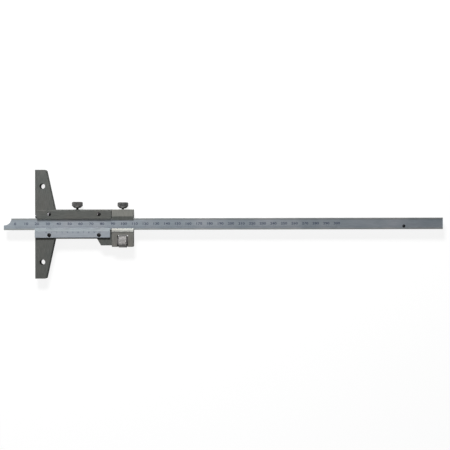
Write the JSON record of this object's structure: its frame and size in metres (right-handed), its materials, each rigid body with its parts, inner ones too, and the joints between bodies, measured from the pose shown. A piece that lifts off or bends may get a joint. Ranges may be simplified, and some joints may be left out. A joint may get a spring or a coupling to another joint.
{
  "type": "vernier depth gauge",
  "caption": "Vernier depth gauge: a long scale beam slides through a T-shaped base, with a clamping screw and a fine-adjustment carriage.",
  "frame": {"origin": "on the plane of the base's measuring face, in line with the middle of the beam, level with the base's back", "axes": "+X along the beam away from the measuring face, +Y towards the clamping screws, +Z out of the scale face"},
  "size_m": [0.4123, 0.101, 0.0113],
  "materials": {
    "scale_chrome": "satin chrome, glare free",
    "ground_steel": "fine ground, darker grey",
    "carriage_steel": "fine ground",
    "knurled_steel": "knurled, satin",
    "screw_steel": "turned and blackened",
    "leaf_steel": "rolled and blued spring strip"
  },
  "bodies": {
    "slider": {"base_body": "ground_steel", "upper_guide_plate": "ground_steel", "vernier_plate": "scale_chrome", "guide_plate_screw_left": "screw_steel", "guide_plate_screw_right": "screw_steel", "vernier_screw_left": "screw_steel", "vernier_screw_right": "screw_steel", "leaf_grub_screw_left": "screw_steel", "leaf_grub_screw_right": "screw_steel", "feed_screw": "screw_steel", "feed_lock_screw": "screw_steel"},
    "beam": {"beam": "scale_chrome", "beam_stop_screw": "screw_steel"},
    "slider_leaf": {"slider_leaf": "leaf_steel"},
    "slider_clamp": {"slider_clamp_screw": "knurled_steel"},
    "carriage": {"carriage_body": "carriage_steel"},
    "carriage_leaf": {"carriage_leaf": "leaf_steel"},
    "carriage_clamp": {"carriage_clamp_screw": "knurled_steel"},
    "nut": {"fine_adjust_nut": "knurled_steel"}
  },
  "joints": [
    {"name": "beam_slide", "type": "slide", "parent": "slider", "child": "beam", "axis": [-1, 0, 0], "range_m": [-0.0286, 0.2714]},
    {"name": "slider_leaf_lift", "type": "slide", "parent": "slider", "child": "slider_leaf", "axis": [0, 1, 0], "range_m": [0, 0.00025]},
    {"name": "slider_clamp_turn", "type": "hinge", "parent": "slider_leaf", "child": "slider_clamp", "pos_m": [0.0386, 0.0136, 0.00446], "axis": [0, 1, 0], "range_deg": [0, 180.5]},
    {"name": "carriage_slide", "type": "slide", "parent": "slider", "child": "carriage", "axis": [1, 0, 0], "range_m": [0, 0.005]},
    {"name": "nut_turn", "type": "hinge", "parent": "carriage", "child": "nut", "pos_m": [0.08082, -0.0163, 0.00446], "axis": [1, 0, 0], "range_deg": [-1, 3601]},
    {"name": "carriage_leaf_lift", "type": "slide", "parent": "carriage", "child": "carriage_leaf", "axis": [0, 1, 0], "range_m": [0, 0.00025]},
    {"name": "carriage_clamp_turn", "type": "hinge", "parent": "carriage_leaf", "child": "carriage_clamp", "pos_m": [0.08082, 0.0136, 0.00446], "axis": [0, 1, 0], "range_deg": [0, 180.5]}
  ],
  "couplings": [
    {"joint": "slider_clamp_turn", "follows": "slider_leaf_lift", "rad_per_m": 12566},
    {"joint": "nut_turn", "follows": "carriage_slide", "rad_per_m": 12566},
    {"joint": "carriage_clamp_turn", "follows": "carriage_leaf_lift", "rad_per_m": 12566}
  ]
}
